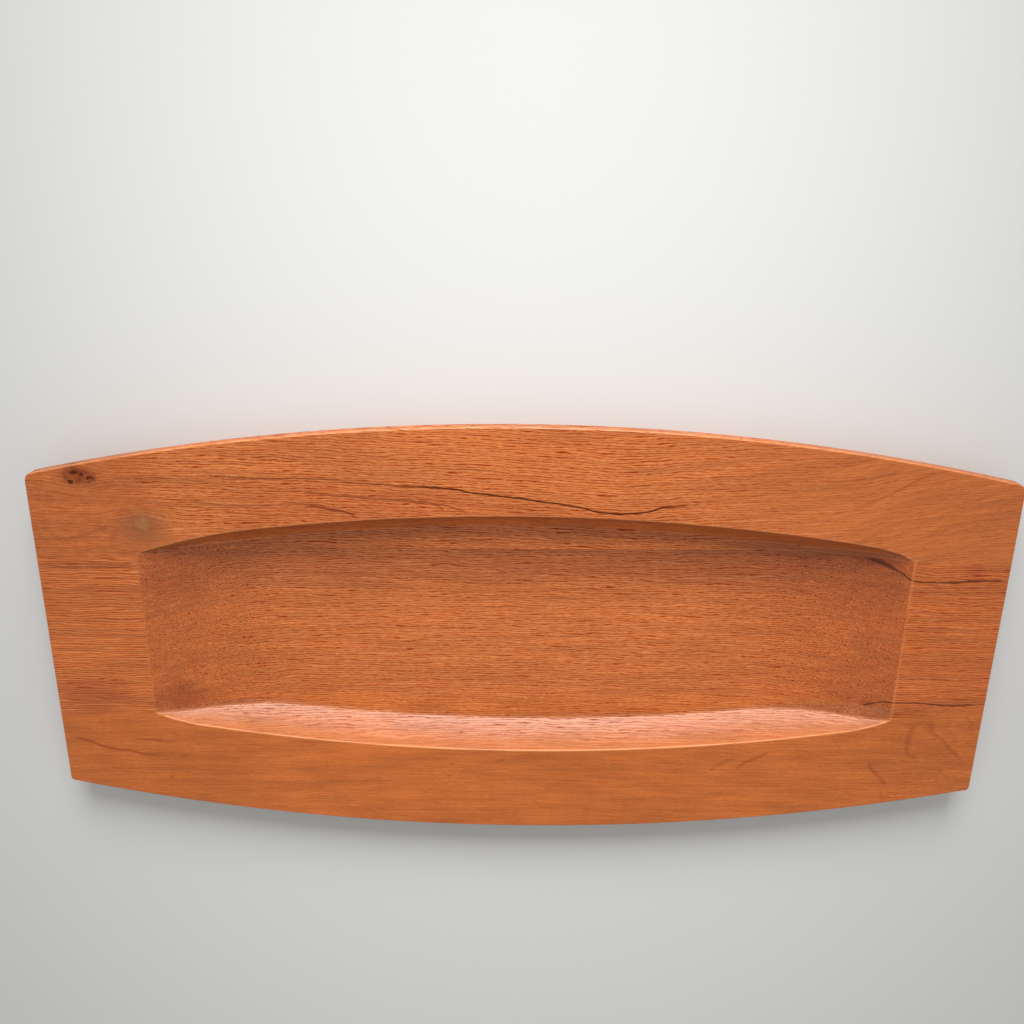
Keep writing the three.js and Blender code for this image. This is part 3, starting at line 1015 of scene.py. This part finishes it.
def front_marks(wood, tone, height):
    """Faint clouds and streaks, the swirls of the right end, the paler wood of the hollow, and on the long
    wall a painted sheen as well.
    """
    on_top = wood.band(wood.z, 14, 20)
    rough_y = wood.add(wood.y, wood.swing(wood.place, 9, 5, 5, 1.2, 41))
    cloud = wood.noise(wood.place, 34, 7, 10, 4.0, 59)
    tone = wood.tint(tone, wood.band(cloud, 0.40, 0.66, 0.0, 0.7), (0.85, 0.79, 0.72))
    side = wood.side_gap()
    hollow = wood.times(wood.band(side, 59.5, 61), wood.band(wood.z, 27.9, 27.4), wood.above_foot)
    # The long wall is paler and bluer: partly the paler wood that it cuts across, and partly a painted
    # sheen of reflected light
    wall = wood.times(hollow, wood.band(side, 77, 73))
    tone = wood.tint(tone, hollow, (1.10, 1.21, 1.60))
    tone = wood.tint(tone, wall, (0.90, 1.06, 1.85))

    left_long = [(-304, -73.2), (-290, -76.8), (-279, -81.3), (-264, -84.6), (-249, -87.1), (-236, -87.7)]
    left_short = [(-263, -73.4), (-251, -75.5), (-237, -76.9), (-225, -77.9)]
    right_one = [(142, -95.9), (152, -87.9), (164, -81.5), (170, -78.3)]
    right_two = [(125, -96.1), (137, -88.1), (149, -83.3)]
    lines = drawn_lines(wood, rough_y, (
        (left_long, 0.1, 1.8, 14, 0.55),
        (left_short, 0.1, 1.6, 12, 0.45),
        (right_one, 0.0, 2.6, 8, 0.42),
        (right_two, 0.0, 2.6, 8, 0.32),
    ))
    steep_one = [(-87, 297), (-80, 291), (-74, 285), (-70, 282), (-66, 276), (-62, 272), (-52, 273)]
    steep_two = [(-89, 268), (-85, 265), (-82, 262), (-78, 258), (-73, 258), (-64, 259), (-54, 261)]
    steep_three = [(-107, 249), (-100, 244), (-95, 239), (-89, 235), (-84, 234)]
    steep_four = [(-59, 301), (-55, 297), (-51, 295)]
    rough_x = wood.add(wood.x, wood.swing(wood.place, 5, 9, 5, 1.0, 63))
    steep_lines = drawn_lines(wood, rough_x, (
        (steep_one, 0.0, 3.6, 7, 0.32),
        (steep_two, 0.0, 3.4, 7, 0.32),
        (steep_three, 0.0, 3.0, 5, 0.40),
        (steep_four, 0.1, 1.6, 2, 0.26),
    ), steep=True)
    lines = wood.strongest(lines, steep_lines)
    spots = wood.strongest(
        wood.spot(rough_y, (-13, -88.6), (4, 1.6), 0.1),
        wood.spot(rough_y, (-48, -101.6), (4, 1.8), 0.1),
        wood.spot(rough_y, (-236, -104.9), (4, 2.4), 0.1),
    )
    lines = wood.times(wood.strongest(lines, wood.times(spots, 0.4)), on_top)
    tone = wood.mix(lines, tone, STREAK_BROWN)

    slant = wood.times(wood.add(wood.y, 78), 0.42)
    bent_x = wood.add(wood.x, slant, wood.swing(wood.place, 20, 16, 16, 9.0, 61))
    swirl_from = wood.math("ABSOLUTE", wood.add(wood.math("FRACT", wood.times(bent_x, 1 / 15)), -0.5))
    swirls = wood.times(
        wood.band(swirl_from, 0.13, 0.0),
        wood.band(wood.x, 222, 250),
        wood.band(wood.noise(wood.place, 14, 14, 14, 1.0, 67), 0.42, 0.6),
        wood.band(wood.y, -48, -58),
        on_top,
    )
    tone = wood.mix(wood.times(swirls, 0.2), tone, SWIRL_BROWN)
    return tone, height, lines


# Camera, floor and light

# The camera as fitted to the photo. It is turned away from looking straight down, about the axis that the
# vector gives and by as many degrees as the vector is long.
CAMERA_PLACE = (-0.0087, 0.2732, 0.5809)
CAMERA_TURN = Vector((-18.56, 0.04, 0.69))
LENS = 33.4
SENSOR_WIDTH = 36
NEAREST_SEEN = 0.01

FLOOR_SIZE = 12
FLOOR_COLOUR = (0.62, 0.62, 0.60)
FLOOR_ROUGHNESS = 0.8
SKY_STRENGTH = 0.52

# What the lights are turned to
LIT_POINT = (0, 0, 0.02)


def set_camera():
    """The photo's viewpoint: above and behind the tray's back edge, looking down towards its front."""
    camera = bpy.data.objects.new("camera", bpy.data.cameras.new("camera"))
    bpy.context.scene.collection.objects.link(camera)
    camera.data.lens = LENS
    camera.data.sensor_width = SENSOR_WIDTH
    camera.data.clip_start = NEAREST_SEEN
    turned = Matrix.Rotation(math.radians(CAMERA_TURN.length), 4, CAMERA_TURN)
    camera.matrix_world = Matrix.Translation(CAMERA_PLACE) @ turned
    bpy.context.scene.camera = camera


def paint(name, colour, roughness):
    """A plain material."""
    plain = Recipe(name)
    plain.shader.inputs["Base Color"].default_value = (*colour, 1)
    plain.shader.inputs["Roughness"].default_value = roughness
    return plain.material


def set_stage():
    deselect_all()
    bpy.ops.mesh.primitive_plane_add(size=FLOOR_SIZE, location=(0, 0, 0))
    floor = bpy.context.object
    floor.name = "studio_floor"
    floor.data.materials.append(paint("pale_floor", FLOOR_COLOUR, FLOOR_ROUGHNESS))


def softbox(name, place, width, height, power, spread):
    """A soft window of light. A narrow spread, in degrees, lights the middle most, as a grid does."""
    light = bpy.data.objects.new(name, bpy.data.lights.new(name, "AREA"))
    bpy.context.scene.collection.objects.link(light)
    light.data.shape = "RECTANGLE"
    light.data.size = width
    light.data.size_y = height
    light.data.energy = power
    light.data.spread = math.radians(spread)
    light.location = place
    light.rotation_euler = (Vector(LIT_POINT) - Vector(place)).to_track_quat("-Z", "Y").to_euler()


def set_light():
    softbox("high_window", (0, 1.0, 0.68), width=0.6, height=0.6, power=2.7, spread=62)
    softbox("low_window", (0, 1.25, 0.28), width=1.6, height=0.35, power=2.75, spread=180)
    world = bpy.data.worlds.new("studio")
    world.use_nodes = True
    world.node_tree.nodes["Background"].inputs["Color"].default_value = (1, 1, 1, 1)
    world.node_tree.nodes["Background"].inputs["Strength"].default_value = SKY_STRENGTH
    bpy.context.scene.world = world
    bpy.context.scene.view_settings.view_transform = "Standard"


set_camera()
set_stage()
set_light()

slab = carved_slab()
back_cut = (BACK_JOINT_Y, BACK_JOINT_SLOPE)
front_cut = (FRONT_JOINT_Y, FRONT_JOINT_SLOPE)
back_wood = oiled_wood(
    "back_wood",
    light=(0.525, 0.140, 0.024),
    dark=(0.452, 0.119, 0.020),
    grain=back_grain,
    ring_lengths=(90, 5, 9),
    pore_map=back_pores,
    line_map=back_lines,
    rim=(BACK_RIM_WIDTH, BACK_LEFT_DRAW, BACK_LEFT_DRAW_LENGTH),
    marks=back_marks,
    shift=0,
)
middle_wood = oiled_wood(
    "middle_wood",
    light=(0.545, 0.144, 0.025),
    dark=(0.468, 0.122, 0.021),
    grain=middle_grain,
    ring_lengths=(120, 4, 6),
    pore_map=middle_pores,
    line_map=middle_lines,
    rim=(BACK_RIM_WIDTH, BACK_LEFT_DRAW, BACK_LEFT_DRAW_LENGTH),
    marks=middle_marks,
    shift=100,
)
front_wood = oiled_wood(
    "front_wood",
    light=(0.520, 0.128, 0.016),
    dark=(0.468, 0.113, 0.013),
    grain=front_grain,
    ring_lengths=(60, 9, 7),
    pore_map=front_pores,
    line_map=front_lines,
    rim=(FRONT_RIM_WIDTH, CORNER_DRAW, CORNER_DRAW_LENGTH),
    marks=front_marks,
    shift=200,
)
BOARDS = {
    "back_board": ([(*back_cut, -1)], back_wood),
    "middle_board": ([(*back_cut, 1), (*front_cut, -1)], middle_wood),
    "front_board": ([(*front_cut, 1)], front_wood),
}
for node, (cuts, wood) in BOARDS.items():
    board = sawn_board(slab, "carved_" + node, cuts)
    board.data.materials.clear()
    board.data.materials.append(wood)
    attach(board, "root")
    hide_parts(node)
bpy.data.objects.remove(slab)
